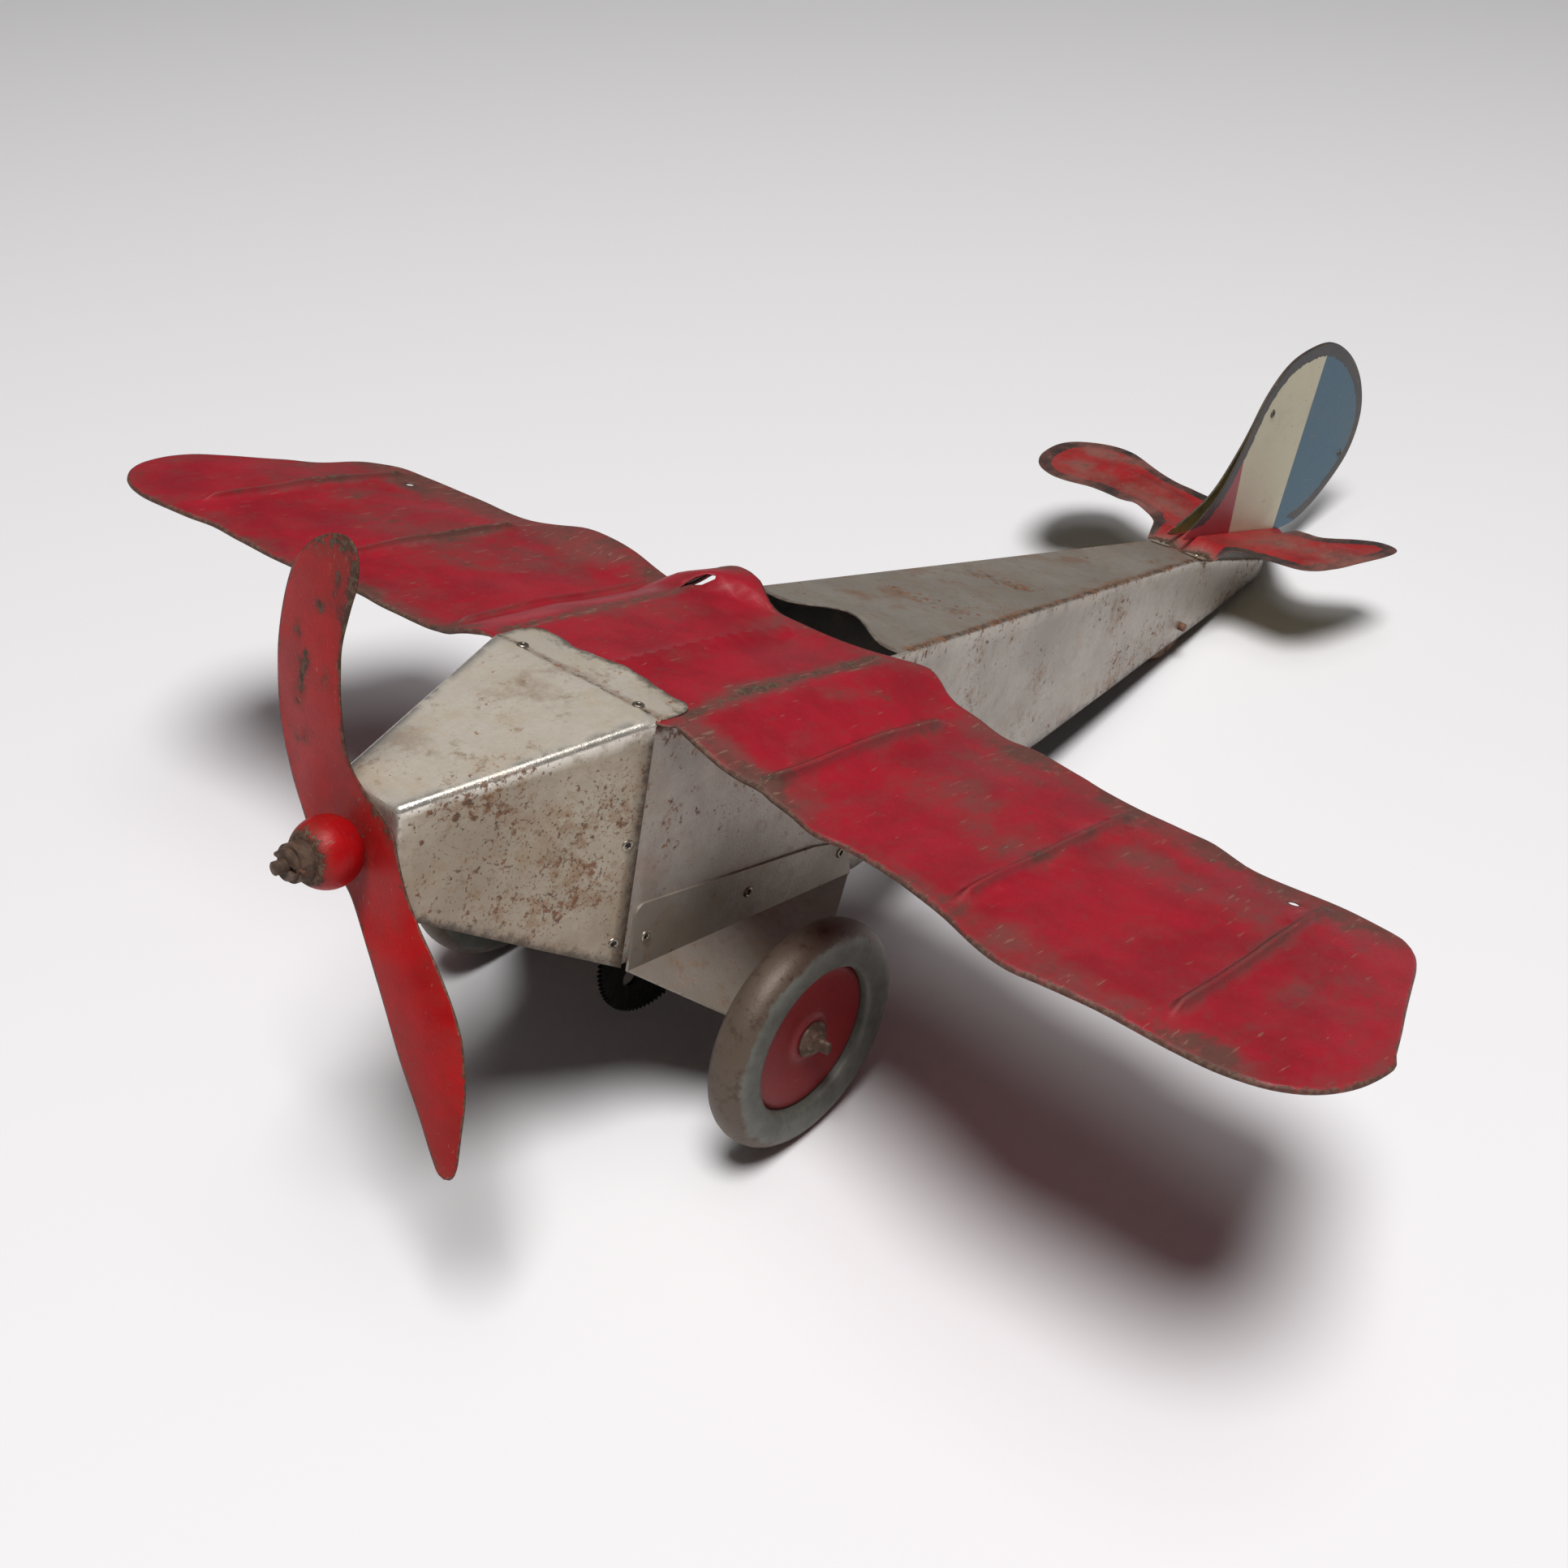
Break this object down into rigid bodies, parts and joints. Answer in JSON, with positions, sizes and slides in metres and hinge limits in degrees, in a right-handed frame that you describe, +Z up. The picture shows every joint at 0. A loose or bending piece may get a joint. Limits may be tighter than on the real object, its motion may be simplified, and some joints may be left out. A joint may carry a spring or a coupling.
{
  "type": "clockwork toy monoplane",
  "caption": "Folded tinplate toy aeroplane with a clockwork motor that turns its propeller and road wheels together through a gear train.",
  "frame": {"origin": "on the floor, under the middle of the toy's overall box, with the toy standing on its road wheels and its tail roller", "axes": "+X to the toy's port side, along the span; +Y from nose to tail along the floor; +Z up"},
  "size_m": [0.408, 0.5232, 0.1838],
  "materials": {
    "bare_tin": "worn bare tinplate, satin",
    "cowl_tin": "bare tinplate with rust specks, satin",
    "wing_enamel": "worn dark red enamel, semi-gloss",
    "bracket_steel": "tarnished steel, satin",
    "tail_enamel": "worn red, cream and blue enamel, semi-gloss",
    "eyelet_steel": "tarnished steel, satin",
    "motor_steel": "oiled dark steel, satin",
    "spring_steel": "blued spring steel, satin",
    "turned_brass": "dull brass, satin",
    "turned_steel": "turned steel, satin",
    "rusty_steel": "brown rusted steel, matt",
    "prop_enamel": "worn bright red enamel, gloss",
    "disc_enamel": "worn red enamel, semi-gloss",
    "rim_steel": "dark tarnished steel, satin",
    "key_steel": "worn plated steel, satin",
    "roller_wood": "dark turned wood, matt"
  },
  "bodies": {
    "airframe": {"fuselage_shell": "bare_tin", "nose_cowl": "cowl_tin", "nose_bearing": "turned_brass", "wing": "wing_enamel", "port_gear_bracket": "bracket_steel", "starboard_gear_bracket": "bracket_steel", "port_tail_sheet": "tail_enamel", "starboard_tail_sheet": "tail_enamel", "cowl_eyelets": "eyelet_steel", "bracket_eyelets": "eyelet_steel", "fin_eyelets": "eyelet_steel", "tail_root_eyelets": "eyelet_steel", "port_motor_plate": "motor_steel", "starboard_motor_plate": "motor_steel", "motor_pillars": "motor_steel", "spring_post": "motor_steel", "mainspring": "spring_steel", "shaft_bridge": "motor_steel", "tail_pin": "rusty_steel"},
    "propeller": {"propeller_shaft": "rusty_steel", "shaft_pinion": "turned_brass", "propeller": "prop_enamel", "ball_boss": "prop_enamel", "shaft_collar": "rusty_steel", "shaft_end_pin": "rusty_steel"},
    "road_axle": {"road_axle": "rusty_steel", "axle_gear": "motor_steel", "port_wheel_disc": "disc_enamel", "starboard_wheel_disc": "disc_enamel", "port_wheel_rim": "rim_steel", "starboard_wheel_rim": "rim_steel", "axle_spacers": "rusty_steel", "hub_washers": "rusty_steel"},
    "layshaft": {"layshaft": "turned_steel", "low_pinion": "turned_brass", "high_pinion": "turned_brass"},
    "great_wheel": {"great_wheel": "turned_brass", "winding_click": "turned_steel"},
    "winding": {"winding_arbor": "turned_steel", "ratchet_wheel": "turned_brass", "winding_key": "key_steel"},
    "crown": {"crown_arbor": "turned_steel", "crown_pinion": "turned_brass", "crown_wheel": "turned_brass"},
    "tail_roller": {"tail_roller": "roller_wood"}
  },
  "joints": [
    {"name": "prop_spin", "type": "hinge", "parent": "airframe", "child": "propeller", "pos_m": [0, -0.24098, 0.11578], "axis": [0, 0.9703, -0.2419], "continuous": true},
    {"name": "road_axle_spin", "type": "hinge", "parent": "airframe", "child": "road_axle", "pos_m": [0, -0.15498, 0.0325], "axis": [1, 0, 0], "continuous": true},
    {"name": "layshaft_spin", "type": "hinge", "parent": "airframe", "child": "layshaft", "pos_m": [0, -0.14929, 0.0553], "axis": [1, 0, 0], "continuous": true},
    {"name": "great_wheel_spin", "type": "hinge", "parent": "airframe", "child": "great_wheel", "pos_m": [0, -0.14392, 0.07684], "axis": [1, 0, 0], "continuous": true},
    {"name": "winding_spin", "type": "hinge", "parent": "airframe", "child": "winding", "pos_m": [0, -0.14392, 0.07684], "axis": [1, 0, 0], "continuous": true},
    {"name": "crown_spin", "type": "hinge", "parent": "airframe", "child": "crown", "pos_m": [0, -0.15694, 0.09483], "axis": [1, 0, 0], "continuous": true},
    {"name": "tail_roller_spin", "type": "hinge", "parent": "airframe", "child": "tail_roller", "pos_m": [0, 0.11073, 0.0152], "axis": [1, 0, 0], "continuous": true}
  ],
  "couplings": [
    {"joint": "crown_spin", "follows": "prop_spin", "ratio": -0.33333},
    {"joint": "layshaft_spin", "follows": "prop_spin", "ratio": -0.33333},
    {"joint": "great_wheel_spin", "follows": "prop_spin", "ratio": 0.052083},
    {"joint": "road_axle_spin", "follows": "prop_spin", "ratio": 0.04878}
  ]
}
